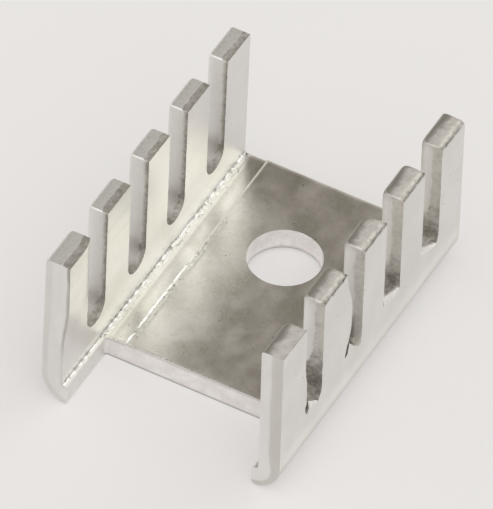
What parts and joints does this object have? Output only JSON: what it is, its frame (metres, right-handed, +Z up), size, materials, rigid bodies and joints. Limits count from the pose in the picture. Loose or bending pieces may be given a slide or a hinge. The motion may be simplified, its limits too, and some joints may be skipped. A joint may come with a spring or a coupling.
{
  "type": "transistor heat sink",
  "caption": "Channel-shaped aluminium heat sink for a tab-mounted power transistor, with slotted finned walls, a screw hole and a front notch for the leads.",
  "frame": {"origin": "middle of the underside, in the plane that the heat sink stands on", "axes": "+Z up from the underside to the finger tips, +Y along the channel from the notched front to the rear, +X across the channel to the right wall"},
  "size_m": [0.015, 0.021, 0.011],
  "materials": {
    "aluminium": "bare extruded aluminium, dull satin with fine drawing lines, sheared edges brighter and rougher"
  },
  "bodies": {
    "root": {"heat_sink": "aluminium"}
  },
  "joints": []
}
